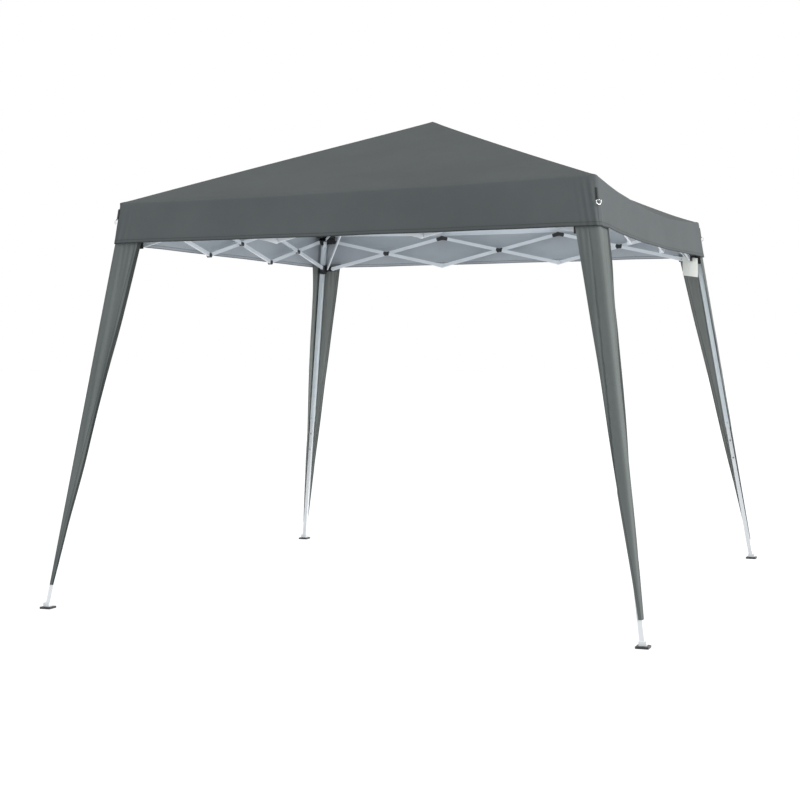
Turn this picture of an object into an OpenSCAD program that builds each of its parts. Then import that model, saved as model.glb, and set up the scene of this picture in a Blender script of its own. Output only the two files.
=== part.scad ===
// Slant-leg pop-up gazebo: a square canopy over a folding frame.
// Four telescopic legs carry a scissor truss on each side and a folding roof frame.
// Origin: centre of the footprint on the ground. +Z up, front is -Y, corners are fl, fr, br, bl.

/* [Footprint and heights] */
// Distance between neighbouring foot centres
foot_span = 3000; // [2400:10:3600]
// Distance between neighbouring leg axes at the height of the top connectors
top_span = 2400; // [1900:10:2800]
// Height of the leg hinge in the top connectors
hinge_z = 1985; // [1700:5:2300]
// Rise of the roof hub's pivots above the roof rods' outer pivots
roof_rise = 478; // [300:2:650]

/* [Scissor trusses] */
// Height between the top pivots and the bottom pivots of a truss when open
truss_drop = 175; // [140:1:260]
// Inset of a truss's end pivots from the leg axis, along the truss
pivot_inset = 65; // [60:1:90]
// Inset of the truss plane from the leg axis at the hinge
plane_inset = 15; // [13:1:18]
// Thickness of a truss bar
bar_t = 11; // [8:0.5:13]
// Height of a truss bar
bar_h = 20; // [16:1:24]
// Radius of a truss bar's rounded end cap
cap_r = 13; // [11:0.5:15]
// Length of the end cap from its pivot along the bar
cap_l = 34; // [24:1:50]
// Gap between the two layers of bars
layer_gap = 1; // [0.6:0.1:2]

/* [Pins] */
// Radius of the truss pins
pin_r = 3; // [2.5:0.25:4]
// Radial clearance of a pin in its hole
pin_play = 0.08; // [0.05:0.01:0.1]
// Radius of a pin's head
head_r = 6; // [5:0.5:8]
// Thickness of a pin's head
head_t = 2; // [1.5:0.25:3]
// Radius of the leg hinge bolt
bolt_r = 4; // [3:0.25:5]

/* [Legs] */
// Outside width of the square upper tube
upper_w = 25; // [24:0.5:30]
// Wall of the leg tubes
tube_wall = 1.5; // [1.2:0.1:2.5]
// Length of the upper leg, from the hinge to its lower end
upper_len = 1205; // [1000:5:1400]
// Clearance per side between the lower tube and the upper tube
slide_play = 0.3; // [0.2:0.05:0.5]
// Overlap of the lower tube inside the upper tube at rest
tube_lap = 420; // [400:5:600]
// Pitch of the height adjustment holes
hole_pitch = 108; // [90:1:130]
// Number of height steps
hole_count = 3; // [1:1:3]
// Radius of a height adjustment hole
hole_r = 4.5; // [3.5:0.25:5]
// Height of the lowest adjustment hole above the upper tube's end
hole_start = 26; // [20:1:60]
// Radius of the leg snap button
button_r = 4; // [3:0.25:4.5]
// Radial clearance of the button in its hole
button_play = 0.1; // [0.08:0.01:0.15]
// How far the button stands out of the upper tube
button_out = 4; // [2:0.5:6]
// Travel of the button when pressed
button_travel = 3.5; // [2:0.1:4]

/* [Feet] */
// Width of a foot pad
foot_w = 58; // [45:1:100]
// Thickness of a foot pad
foot_t = 10; // [6:1:16]
// Radius of a peg hole in a foot pad
peg_r = 4; // [3:0.25:6]
// Distance of the peg holes from the leg axis, along the pad's outer edges
peg_off = 21; // [19:0.5:24]

/* [Connectors] */
// Thickness of a top connector's cap
cap_top = 22; // [16:1:30]
// Thickness of the connector's plates
plate_t = 5; // [4:0.5:7]
// Thickness of the leg's hinge tongue
tongue_t = 24; // [18:0.5:28]
// Width of the slider's sleeve
slider_w = 40; // [36:1:50]
// Height of the slider's sleeve
slider_h = 56; // [40:1:80]
// Clearance per side of the slider on the leg
slider_play = 0.5; // [0.3:0.05:1]

/* [Roof frame] */
// Length of the outer roof rod between its pivots
outer_len = 700; // [500:5:850]
// Radius of the roof rods
rod_r = 7.5; // [6:0.5:9]
// Sideways gap between the outer and the inner roof rod
rod_gap = 2; // [1:0.5:4]
// Distance of the strut's pivot from the outer rod's outer pivot
strut_at = 354; // [300:2:400]
// Thickness of a roof strut
strut_t = 8; // [6:0.5:9]
// Height of a roof strut
strut_h = 16; // [12:1:20]
// Distance of the hub's pivots from its centre
hub_reach = 50; // [46:1:70]
// Radius of the hub's plate
hub_r = 34; // [28:1:40]

/* [Canopy] */
// How far the canopy's top edge lies outside the line of the hinges
canopy_over = 28; // [26:0.5:45]
// How far the valance's bottom edge lies outside the middle of the legs
valance_over = 27.6; // [26:0.2:60]
// Height of the eaves
eave_z = 2037; // [1750:1:2350]
// Height of the valance
valance_h = 220; // [150:5:350]
// Height of the roof's peak
peak_z = 2529; // [2200:1:2800]
// Thickness of the cloth
cloth_t = 1.2; // [1:0.1:2]
// Width of a leg skirt at the valance
skirt_top_w = 140; // [90:5:200]
// Width of a leg skirt at its foot end
skirt_low_w = 24; // [18:1:60]
// Height of a skirt's lower end above the ground
skirt_low_z = 120; // [80:5:300]
// Radius of a guy ring's wire
ring_wire = 2; // [1.5:0.25:3]
// Inside radius of a guy ring
ring_in = 11.5; // [8:0.5:16]
// Height of a ring's centre below the eaves
ring_drop = 108; // [90:1:150]

/* [Hidden] */
$fn = 48;

// Leg line: it leans outward by leg_lean in x and in y for each unit of height
fit = 0.3;
foot_half = foot_span / 2;
hinge_half = top_span / 2;
leg_lean = (foot_half - hinge_half) / hinge_z;
diag = sqrt(2);
leg_tilt = atan(leg_lean * diag);
leg_len = hinge_z / cos(leg_tilt);

// Truss layout: pivots at px along the side, in the plane at py
cells = 3;
px = hinge_half - pivot_inset;
py = hinge_half - plane_inset;
cell_w = 2 * px / cells;
bar_len = sqrt(cell_w * cell_w + truss_drop * truss_drop);
bar_angle = atan(truss_drop / cell_w);
layer = (bar_t + layer_gap) / 2;
low_z = hinge_z - truss_drop;
low_half = foot_half - leg_lean * low_z;
bolt_head = 3;

// A slider tilts with its leg as the frame folds, so its lugs stand off from the bars
lug_gap = 2.5;
boss_r = 5;
boss_gap = 0.8;

// Lower tube and foot, along the leg from the hinge
tongue_r = 13;
socket_wall = 6.3;
socket_h = 20;
cut_run = 8 * upper_w;
foot_joint = leg_len - foot_t * 1.5;
lower_w = upper_w - 2 * tube_wall - 2 * slide_play;
socket_half = lower_w / 2 + socket_wall;
lower_top = upper_len - tube_lap;
button_at = upper_len - hole_start;
tongue_reach = 30;

// Roof frame in the diagonal plane: radius from the centre and height
rod_side = rod_r + rod_gap / 2;
hip_r = hinge_half * diag - 45;
hip_z = hinge_z + 12;
rod_rise = atan(roof_rise / (hip_r - hub_reach));
rod_total = sqrt(pow(roof_rise, 2) + pow(hip_r - hub_reach, 2));
inner_len = rod_total - outer_len;
tip_t = 8;
knuckle_gap = 0.4;
strut_side = -rod_side + rod_r + 1.5 + strut_t / 2;
strut_in = 74;
strut_r = low_half * diag - strut_in;
strut_top_r = hip_r - strut_at * cos(rod_rise);
strut_top_z = hip_z + strut_at * sin(rod_rise);
strut_len = sqrt(pow(strut_r - strut_top_r, 2) + pow(strut_top_z - low_z, 2));
strut_rise = atan((strut_top_z - low_z) / (strut_r - strut_top_r));
hub_z = hip_z + roof_rise;

// Cloth
eave_half = hinge_half + canopy_over;
valance_z = eave_z - valance_h;
valance_half = hinge_half + leg_lean * (hinge_z - valance_z) + valance_over;
cloth_lean = (valance_half - eave_half) / valance_h;
tip_half = 2;
eave_in_z = eave_z - cloth_t;
roof_in = eave_half + cloth_lean * cloth_t - cloth_t;
peak_in = peak_z - 1.1 * cloth_t;
pad_r = 12;
pad_z = eave_in_z + (peak_in - eave_in_z) * (1 - pad_r / roof_in) - 2 * fit;

// Caps of the top connectors carry the cloth's corners
cap_z = hinge_z + 18;
cap_half = eave_half + cloth_lean * (eave_z - cap_z - cap_top) - cloth_t - fit - hinge_half;

// Puts a piece that is drawn at the front left corner at corner i
module corner(i) { rotate([0, 0, 90 * i]) children(); }

// Frame of a leg at the front left corner: origin at its hinge, -Z down the leg
module leg_frame() {
    translate([-hinge_half, -hinge_half, hinge_z])
        rotate([0, 0, 225]) rotate([0, -leg_tilt, 0]) rotate([0, 0, 45]) children();
}

// Turns a leg's frame so that +X is the inward face that the snap button is on
module button_face(i) { rotate([0, 0, i % 2 == 0 ? 180 : 90]) children(); }

// Diagonal frame at the front left corner: +X inward, +Y to the side, at radius r and height z
module diag_frame(r, z) {
    rotate([0, 0, 45]) translate([-r, 0, z]) children();
}

// The roof rods of corner 1 have the other hand, so that they pass each other as the frame folds
module roof_hand(i) { mirror([0, i == 1 ? 1 : 0, 0]) children(); }

// Cylinder along Y, from y0 to y1
module rod_y(r, y0, y1) {
    translate([0, y0, 0]) rotate([-90, 0, 0]) cylinder(r = r, h = y1 - y0);
}

// Truss bar in its own frame: pivots at 0 and at bar_len along X, centred in Y
module bar(pins, holes) {
    difference() {
        union() {
            translate([cap_l - 4, -bar_t / 2, -bar_h / 2]) cube([bar_len - 2 * cap_l + 8, bar_t, bar_h]);
            for (x = [0, bar_len]) {
                rod_at(x) rod_y(cap_r, -bar_t / 2, bar_t / 2);
                translate([x == 0 ? 0 : x - cap_l, -bar_t / 2, -bar_h / 2 - 1])
                    cube([cap_l, bar_t, bar_h + 2]);
            }
            // pins stand on this bar, run through the other layer and end in a head
            for (p = pins) rod_at(p) union() {
                rod_y(pin_r, 0, bar_t * 1.5 + layer_gap * 2);
                rod_y(head_r, bar_t * 1.5 + layer_gap * 1.5, bar_t * 1.5 + layer_gap * 1.5 + head_t);
                rod_y(head_r, -bar_t / 2 - head_t, 0);
            }
        }
        for (p = holes) rod_at(p) rod_y(pin_r + pin_play, -bar_t, bar_t);
    }
}
module rod_at(x) { translate([x, 0, 0]) children(); }

// Bar k of the falling set on side i: its pins reach inward, through the rising set
module falling_bar(i, k) {
    pins = concat([bar_len / 2], k > 1 ? [0] : [], k < cells ? [bar_len] : []);
    holes = concat(k == 1 ? [0] : [], k == cells ? [bar_len] : []);
    color("gainsboro") corner(i)
        translate([-px + (k - 1) * cell_w, -py - layer, hinge_z])
            rotate([0, bar_angle, 0]) bar(pins, holes);
}

// Bar k of the rising set on side i
module rising_bar(i, k) {
    color("gainsboro") corner(i)
        translate([-px + (k - 1) * cell_w, -py + layer, low_z])
            rotate([0, -bar_angle, 0]) bar([], [0, bar_len / 2, bar_len]);
}

// Top connector of corner i: cap over the leg, fork for the leg, and lugs for two trusses and a roof rod
module top_connector(i) {
    fork_in = tongue_t / 2 + 0.3;
    plate_y = -py - layer - bar_t / 2 - layer_gap / 2;
    plate_x = -py + layer - bar_t / 2 - layer_gap / 2;
    hip_in = tip_t / 2 + 0.3;
    color("dimgray") corner(i) {
        difference() {
            union() {
                translate([-hinge_half, -hinge_half, cap_z + cap_top / 2])
                    cube([2 * cap_half, 2 * cap_half, cap_top], center = true);
                // fork round the leg's tongue
                diag_frame(hinge_half * diag, hinge_z) for (s = [-1, 1])
                    translate([0, s * (fork_in + plate_t / 2), 10])
                        cube([34, plate_t, 60], center = true);
                // lug of the truss that starts here
                translate([-px - 40, plate_y - plate_t, hinge_z - 16]) cube([56, plate_t, 56]);
                translate([-hinge_half, plate_y - plate_t, hinge_z + 24])
                    cube([-px + 16 + hinge_half, 30, 12]);
                // lug of the truss that ends here
                translate([plate_x - plate_t, -px - 40, hinge_z - 16]) cube([plate_t, 56, 56]);
                translate([plate_x - plate_t, -hinge_half, hinge_z + 24])
                    cube([18, -px + 16 + hinge_half, 12]);
                // lugs of the roof rod
                diag_frame(hip_r, hip_z) roof_hand(i) for (s = [-1, 1])
                    translate([-32, -rod_side + s * (hip_in + 2) - 2, -10]) cube([44, 4, 30]);
                diag_frame(hip_r, hip_z) roof_hand(i) translate([-34, -rod_side - hip_in - 4, 14])
                    cube([24, 2 * hip_in + 8, 14]);
            }
            // room for the leg's tongue
            diag_frame(hinge_half * diag, hinge_z) rotate([90, 0, 0])
                cylinder(r = 17.5, h = 2 * fork_in, center = true);
        }
        // bolts
        diag_frame(hinge_half * diag, hinge_z)
            rod_y(bolt_r, -fork_in - plate_t - bolt_head, fork_in + plate_t + bolt_head);
        diag_frame(hip_r, hip_z) roof_hand(i) translate([0, -rod_side, 0]) {
            rod_y(pin_r, -hip_in - 4 - head_t, hip_in + 4 + head_t);
            for (s = [-1, 1]) translate([0, s * (hip_in + 4 + head_t / 2), 0])
                rod_y(head_r, -head_t / 2, head_t / 2);
        }
        translate([-px, 0, hinge_z]) {
            rod_y(pin_r, plate_y - plate_t - head_t, plate_y + bar_t + layer_gap * 2);
            rod_y(head_r, plate_y - plate_t - head_t, plate_y);
            rod_y(head_r, plate_y + bar_t + layer_gap, plate_y + bar_t + layer_gap + head_t);
        }
        translate([plate_x - plate_t - head_t, -px, hinge_z]) rotate([0, 90, 0]) {
            cylinder(r = pin_r, h = plate_t + head_t + bar_t + layer_gap * 2);
            cylinder(r = head_r, h = head_t + 1);
            translate([0, 0, plate_t + head_t + bar_t + layer_gap]) cylinder(r = head_r, h = head_t);
        }
    }
}

// Upper leg of corner i: square tube with a hinge tongue at its top
module upper_leg(i) {
    inner = upper_w - 2 * tube_wall;
    color("lightsteelblue") corner(i) leg_frame() difference() {
        union() {
            translate([-upper_w / 2, -upper_w / 2, -upper_len])
                cube([upper_w, upper_w, upper_len - tongue_reach]);
            rotate([0, 0, -45]) {
                rotate([90, 0, 0]) cylinder(r = tongue_r, h = tongue_t, center = true);
                translate([-tongue_r, -tongue_t / 2, -tongue_reach - 4])
                    cube([2 * tongue_r, tongue_t, tongue_reach + 4]);
            }
        }
        translate([-inner / 2, -inner / 2, -upper_len - 1])
            cube([inner, inner, upper_len - tongue_reach - 11]);
        rotate([0, 0, -45]) rotate([90, 0, 0])
            cylinder(r = bolt_r + pin_play, h = tongue_t + 4, center = true);
        // adjustment holes, on the inward face; the lowest one guides the button
        for (k = [0 : hole_count]) translate([0, 0, -button_at + k * hole_pitch])
            button_face(i) rotate([0, 90, 0]) cylinder(r = k == 0 ? button_r + button_play : hole_r, h = cut_run);
    }
}

// Lower leg of corner i: square tube that telescopes in the upper leg, with its foot pad
module lower_leg(i) {
    inner = lower_w - 2 * tube_wall;
    color("whitesmoke") corner(i) {
        leg_frame() difference() {
            translate([-lower_w / 2, -lower_w / 2, -foot_joint])
                cube([lower_w, lower_w, foot_joint - lower_top]);
            translate([-inner / 2, -inner / 2, -foot_joint + 20])
                cube([inner, inner, foot_joint - lower_top]);
            for (k = [0 : hole_count - 1]) translate([0, 0, -button_at - k * hole_pitch])
                button_face(i) rotate([0, 90, 0]) cylinder(r = hole_r, h = cut_run);
        }
    }
    color("black") corner(i) difference() {
        union() {
            translate([-foot_half - foot_w / 2, -foot_half - foot_w / 2, 0])
                cube([foot_w, foot_w, foot_t]);
            translate([-foot_half - socket_half, -foot_half - socket_half, foot_t])
                cube([2 * socket_half, 2 * socket_half, socket_h]);
        }
        leg_frame() translate([-lower_w / 2, -lower_w / 2, -foot_joint])
            cube([lower_w, lower_w, cut_run]);
        for (p = [[-1, 1], [1, -1]])
            translate([-foot_half + p[0] * peg_off, -foot_half + p[1] * peg_off, -1])
                cylinder(r = peg_r, h = foot_t + 2);
    }
}

// Snap button of the leg at corner i: it sits in the upper tube's lowest hole and is pressed inward
module leg_button(i) {
    tip = upper_w / 2 - tube_wall;
    color("silver") corner(i) leg_frame() translate([0, 0, -button_at])
        button_face(i) rotate([0, 90, 0]) {
        translate([0, 0, tip]) cylinder(r = button_r, h = tube_wall + button_out - 2);
        translate([0, 0, upper_w / 2 + button_out - 2]) intersection() {
            cylinder(r = button_r, h = 2);
            translate([0, 0, -2]) sphere(r = button_r + 0.7);
        }
    }
}

// Slider of corner i: sleeve on the leg, with lugs for two trusses and a roof strut
module slider(i) {
    hole = upper_w + 2 * slider_play;
    out_y = -py - layer - bar_t / 2 - lug_gap;
    in_y = -py + layer - bar_t / 2 - lug_gap;
    block = low_half - 18;
    side_in = strut_t / 2 + 0.4;
    color("dimgray") corner(i) difference() {
        union() {
            leg_frame() translate([0, 0, -truss_drop / cos(leg_tilt)])
                cube([slider_w, slider_w, slider_h], center = true);
            translate([-block, -block, low_z - 20]) cube([block + in_y, block + in_y, 40]);
            // lug of the truss that starts here
            translate([-block, in_y - plate_t, low_z - 16]) cube([block - px + 16, plate_t, 32]);
            translate([-px, 0, low_z]) rod_y(boss_r, in_y - plate_t - head_t, in_y + lug_gap - boss_gap);
            // lug of the truss that ends here
            translate([out_y - plate_t, -block, low_z - 16]) cube([plate_t, block - px + 16, 32]);
            translate([out_y - plate_t - head_t, -px, low_z]) rotate([0, 90, 0])
                cylinder(r = boss_r, h = head_t + plate_t + lug_gap - boss_gap);
            // lugs of the roof strut
            for (s = [-1, 1]) diag_frame(strut_r, low_z) roof_hand(i)
                translate([-44, strut_side + s * (side_in + 2) - 2, -10]) cube([54, 4, 22]);
            // release tab
            leg_frame() translate([-slider_w / 2 - 4, -10, -truss_drop / cos(leg_tilt) - 22])
                cube([6, 20, 16]);
        }
        leg_frame() translate([-hole / 2, -hole / 2, -truss_drop / cos(leg_tilt) - cut_run / 2])
            cube([hole, hole, cut_run]);
    }
    color("silver") corner(i) diag_frame(strut_r, low_z) roof_hand(i) translate([0, strut_side, 0])
        rod_y(pin_r, -side_in - 4.5, side_in + 4.5);
}

// Outer roof rod of corner i: from the top connector to the knuckle
module roof_rod_outer(i) {
    color("gainsboro") corner(i) diag_frame(hip_r, hip_z) roof_hand(i) translate([0, -rod_side, 0])
        rotate([0, -rod_rise, 0]) difference() {
            union() {
                tip(); rod_at(outer_len) tip();
                rod_at(22) rotate([0, 90, 0]) cylinder(r = rod_r, h = outer_len - 44);
                translate([0, -tip_t / 2, -6]) cube([30, tip_t, 12]);
                translate([outer_len - 30, -tip_t / 2, -6]) cube([30, tip_t, 12]);
                // knuckle boss, which meets the inner rod's boss
                rod_at(outer_len) rod_y(head_r, 0, 2 * rod_side - rod_r - knuckle_gap);
            }
            rod_y(pin_r + pin_play, -tip_t, tip_t);
        }
}
module tip() { rod_y(9, -tip_t / 2, tip_t / 2); }

// Inner roof rod of corner i: from the knuckle to the hub
module roof_rod_inner(i) {
    color("gainsboro") corner(i)
        diag_frame(hip_r - outer_len * cos(rod_rise), hip_z + outer_len * sin(rod_rise))
            roof_hand(i) translate([0, rod_side, 0]) rotate([0, -rod_rise, 0]) difference() {
                union() {
                    rod_y(9, -rod_r, tip_t / 2);
                    rod_y(head_r, 0, tip_t / 2 + head_t);
                    rod_at(inner_len) tip();
                    rod_at(22) rotate([0, 90, 0]) cylinder(r = rod_r, h = inner_len - 44);
                    translate([0, -tip_t / 2, -6]) cube([30, tip_t, 12]);
                    translate([inner_len - 30, -tip_t / 2, -6]) cube([30, tip_t, 12]);
                }
                rod_at(inner_len) rod_y(pin_r + pin_play, -tip_t, tip_t);
            }
}

// Roof strut of corner i: from the slider to the outer roof rod
module roof_strut(i) {
    color("gainsboro") corner(i) diag_frame(strut_r, low_z) roof_hand(i) translate([0, strut_side, 0])
        rotate([0, -strut_rise, 0]) difference() {
            union() {
                rod_y(strut_h / 2, -strut_t / 2, strut_t / 2);
                rod_at(strut_len) rod_y(strut_h / 2, -strut_t / 2, strut_t / 2);
                translate([0, -strut_t / 2, -strut_h / 2]) cube([strut_len, strut_t, strut_h]);
                rod_at(strut_len) rod_y(head_r, 0, strut_t / 2 + head_t);
            }
            rod_y(pin_r + pin_play, -strut_t, strut_t);
        }
}

// Roof hub: plate with four forks and a pad under the peak
module roof_hub() {
    fork_in = tip_t / 2 + 0.3;
    color("dimgray") union() {
        translate([0, 0, hub_z - 8]) cylinder(r = hub_r, h = 26);
        translate([0, 0, hub_z + 17]) cylinder(r1 = hub_r, r2 = pad_r, h = pad_z - hub_z - 17);
        for (i = [0 : 3]) corner(i) {
            diag_frame(hub_reach, hub_z) roof_hand(i) {
                for (s = [-1, 1]) translate([-11, rod_side + s * (fork_in + 1.5) - 1.5, -9])
                    cube([hub_reach - 12, 3, 18]);
                translate([0, rod_side, 0]) rod_y(pin_r, -fork_in - 4, fork_in + 4);
            }
        }
    }
}

// Canopy: four roof panels and the valance, one sheet of cloth open below
module canopy() {
    color("slategray") rotate([0, 0, 45]) rotate_extrude($fn = 4) polygon([
        [(valance_half - cloth_t) * diag, valance_z],
        [valance_half * diag, valance_z],
        [eave_half * diag, eave_z],
        [tip_half * diag, peak_z],
        [0, peak_z],
        [0, peak_in],
        [tip_half * diag, peak_in],
        [roof_in * diag, eave_in_z]
    ]);
}

// Skirts: two tapering faces of cloth round the outer side of each leg, hung from the valance
module leg_skirts() {
    color("gray") for (i = [0 : 3]) corner(i) for (m = [0, 1]) mirror([m, -m, 0]) skirt_face();
}
// One face of a skirt, from the valance's lower edge to the leg's outer face
module skirt_face() {
    low = foot_half - leg_lean * skirt_low_z + upper_w / 2 / cos(leg_tilt) + 1;
    top = valance_half - cloth_t;
    h = valance_z - fit - skirt_low_z;
    lean = atan((low - top) / h);
    translate([-low, 0, skirt_low_z]) rotate([0, lean, 0]) rotate([90, 0, -90])
        mirror([1, 0, 0]) linear_extrude(height = cloth_t)
            polygon([
                [-low - cloth_t, 0], [-low + skirt_low_w, 0],
                [-top + skirt_top_w, h / cos(lean)], [-top - cloth_t, h / cos(lean)]
            ]);
}

// Guy rings: one D-ring under each top corner of the valance
module guy_rings() {
    out = eave_half + cloth_lean * ring_drop + ring_wire + 1.5;
    color("silver") for (i = [0 : 3]) corner(i)
        translate([-out, -out, eave_z - ring_drop]) rotate([0, 0, 45]) rotate([90, 0, 90])
            rotate_extrude() translate([ring_in + ring_wire, 0]) circle(r = ring_wire, $fn = 16);
}

// Each piece by its own name
module top_connector_fl() { top_connector(0); }
module top_connector_fr() { top_connector(1); }
module top_connector_br() { top_connector(2); }
module top_connector_bl() { top_connector(3); }
module upper_leg_fl() { upper_leg(0); }
module upper_leg_fr() { upper_leg(1); }
module upper_leg_br() { upper_leg(2); }
module upper_leg_bl() { upper_leg(3); }
module lower_leg_fl() { lower_leg(0); }
module lower_leg_fr() { lower_leg(1); }
module lower_leg_br() { lower_leg(2); }
module lower_leg_bl() { lower_leg(3); }
module leg_button_fl() { leg_button(0); }
module leg_button_fr() { leg_button(1); }
module leg_button_br() { leg_button(2); }
module leg_button_bl() { leg_button(3); }
module slider_fl() { slider(0); }
module slider_fr() { slider(1); }
module slider_br() { slider(2); }
module slider_bl() { slider(3); }
module roof_rod_outer_fl() { roof_rod_outer(0); }
module roof_rod_outer_fr() { roof_rod_outer(1); }
module roof_rod_outer_br() { roof_rod_outer(2); }
module roof_rod_outer_bl() { roof_rod_outer(3); }
module roof_rod_inner_fl() { roof_rod_inner(0); }
module roof_rod_inner_fr() { roof_rod_inner(1); }
module roof_rod_inner_br() { roof_rod_inner(2); }
module roof_rod_inner_bl() { roof_rod_inner(3); }
module roof_strut_fl() { roof_strut(0); }
module roof_strut_fr() { roof_strut(1); }
module roof_strut_br() { roof_strut(2); }
module roof_strut_bl() { roof_strut(3); }
module bar_front_a1() { falling_bar(0, 1); }
module bar_front_a2() { falling_bar(0, 2); }
module bar_front_a3() { falling_bar(0, 3); }
module bar_front_b1() { rising_bar(0, 1); }
module bar_front_b2() { rising_bar(0, 2); }
module bar_front_b3() { rising_bar(0, 3); }
module bar_right_a1() { falling_bar(1, 1); }
module bar_right_a2() { falling_bar(1, 2); }
module bar_right_a3() { falling_bar(1, 3); }
module bar_right_b1() { rising_bar(1, 1); }
module bar_right_b2() { rising_bar(1, 2); }
module bar_right_b3() { rising_bar(1, 3); }
module bar_back_a1() { falling_bar(2, 1); }
module bar_back_a2() { falling_bar(2, 2); }
module bar_back_a3() { falling_bar(2, 3); }
module bar_back_b1() { rising_bar(2, 1); }
module bar_back_b2() { rising_bar(2, 2); }
module bar_back_b3() { rising_bar(2, 3); }
module bar_left_a1() { falling_bar(3, 1); }
module bar_left_a2() { falling_bar(3, 2); }
module bar_left_a3() { falling_bar(3, 3); }
module bar_left_b1() { rising_bar(3, 1); }
module bar_left_b2() { rising_bar(3, 2); }
module bar_left_b3() { rising_bar(3, 3); }

top_connector_fl();
top_connector_fr();
top_connector_br();
top_connector_bl();
upper_leg_fl();
upper_leg_fr();
upper_leg_br();
upper_leg_bl();
lower_leg_fl();
lower_leg_fr();
lower_leg_br();
lower_leg_bl();
leg_button_fl();
leg_button_fr();
leg_button_br();
leg_button_bl();
slider_fl();
slider_fr();
slider_br();
slider_bl();
roof_rod_outer_fl();
roof_rod_outer_fr();
roof_rod_outer_br();
roof_rod_outer_bl();
roof_rod_inner_fl();
roof_rod_inner_fr();
roof_rod_inner_br();
roof_rod_inner_bl();
roof_strut_fl();
roof_strut_fr();
roof_strut_br();
roof_strut_bl();
bar_front_a1();
bar_front_a2();
bar_front_a3();
bar_front_b1();
bar_front_b2();
bar_front_b3();
bar_right_a1();
bar_right_a2();
bar_right_a3();
bar_right_b1();
bar_right_b2();
bar_right_b3();
bar_back_a1();
bar_back_a2();
bar_back_a3();
bar_back_b1();
bar_back_b2();
bar_back_b3();
bar_left_a1();
bar_left_a2();
bar_left_a3();
bar_left_b1();
bar_left_b2();
bar_left_b3();
roof_hub();
canopy();
leg_skirts();
guy_rings();
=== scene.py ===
from math import atan2, cos, exp, hypot, pi, radians, sin, sqrt
import bpy
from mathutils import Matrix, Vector, noise


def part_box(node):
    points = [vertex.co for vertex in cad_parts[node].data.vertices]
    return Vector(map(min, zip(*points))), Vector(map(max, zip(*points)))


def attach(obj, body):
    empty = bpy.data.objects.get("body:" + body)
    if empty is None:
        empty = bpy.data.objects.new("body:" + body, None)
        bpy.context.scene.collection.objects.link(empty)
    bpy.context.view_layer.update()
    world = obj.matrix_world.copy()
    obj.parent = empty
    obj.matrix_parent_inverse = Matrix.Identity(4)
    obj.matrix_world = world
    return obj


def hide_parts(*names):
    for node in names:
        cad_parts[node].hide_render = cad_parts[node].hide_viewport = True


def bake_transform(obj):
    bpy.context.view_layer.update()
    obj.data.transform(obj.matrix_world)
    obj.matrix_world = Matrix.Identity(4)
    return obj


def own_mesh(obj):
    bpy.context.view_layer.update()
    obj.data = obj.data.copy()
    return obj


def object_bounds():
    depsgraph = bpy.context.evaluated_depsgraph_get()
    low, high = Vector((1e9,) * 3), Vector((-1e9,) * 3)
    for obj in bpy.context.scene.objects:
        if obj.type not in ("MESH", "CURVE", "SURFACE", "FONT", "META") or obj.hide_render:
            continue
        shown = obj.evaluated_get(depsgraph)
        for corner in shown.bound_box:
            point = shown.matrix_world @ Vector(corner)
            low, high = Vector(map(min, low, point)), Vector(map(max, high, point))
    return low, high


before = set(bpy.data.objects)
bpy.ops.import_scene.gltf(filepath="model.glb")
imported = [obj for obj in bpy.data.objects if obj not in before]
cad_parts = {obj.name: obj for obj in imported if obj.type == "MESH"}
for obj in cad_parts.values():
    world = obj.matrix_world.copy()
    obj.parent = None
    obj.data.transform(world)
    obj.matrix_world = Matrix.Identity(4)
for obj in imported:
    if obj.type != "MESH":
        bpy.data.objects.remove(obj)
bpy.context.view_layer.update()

CORNERS = {"fl": (-1, -1), "fr": (1, -1), "br": (1, 1), "bl": (-1, 1)}

# ---------------------------------------------------------------- camera
# A standing view from the front right, a little below the eaves.
eye = bpy.data.objects.new("eye", bpy.data.cameras.new("eye"))
eye.location = (2.921, -7.887, 1.264)
eye.rotation_euler = (pi / 2 - 0.0311, 0.0055, 0.3768)
eye.data.sensor_width = 36.0
eye.data.lens = 68.65
bpy.context.collection.objects.link(eye)
bpy.context.scene.camera = eye
bpy.context.scene.view_settings.view_transform = "Standard"

# ---------------------------------------------------------------- studio
# A pale floor under even light: the world fills from all round and one wide lamp stands to the right.
# The floor and the world show white to the eye; to the light the floor is only pale.
def calc(tree, operation, *values):
    """The result of a maths node, fed by sockets or by plain numbers."""
    n = tree.nodes.new("ShaderNodeMath")
    n.operation = operation
    for k, v in enumerate(values):
        if isinstance(v, (int, float)):
            n.inputs[k].default_value = v
        else:
            tree.links.new(v, n.inputs[k])
    return n.outputs[0]


world = bpy.data.worlds.new("studio")
bpy.context.scene.world = world
world.use_nodes = True
wt = world.node_tree
wt.nodes.clear()
w_out = wt.nodes.new("ShaderNodeOutputWorld")
w_fill = wt.nodes.new("ShaderNodeBackground")
w_fill.inputs["Color"].default_value = (0.93, 0.97, 1.0, 1)
w_fill.inputs["Strength"].default_value = 0.62
w_seen = wt.nodes.new("ShaderNodeBackground")
w_seen.inputs["Color"].default_value = (1, 1, 1, 1)
w_mix = wt.nodes.new("ShaderNodeMixShader")
w_path = wt.nodes.new("ShaderNodeLightPath")
w_straight = calc(wt, "MAXIMUM", w_path.outputs["Is Camera Ray"], w_path.outputs["Is Glossy Ray"])
w_to_eye = calc(wt, "MAXIMUM", w_straight, w_path.outputs["Is Transmission Ray"])
wt.links.new(w_to_eye, w_mix.inputs[0])
wt.links.new(w_fill.outputs[0], w_mix.inputs[1])
wt.links.new(w_seen.outputs[0], w_mix.inputs[2])
wt.links.new(w_mix.outputs[0], w_out.inputs["Surface"])

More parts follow.
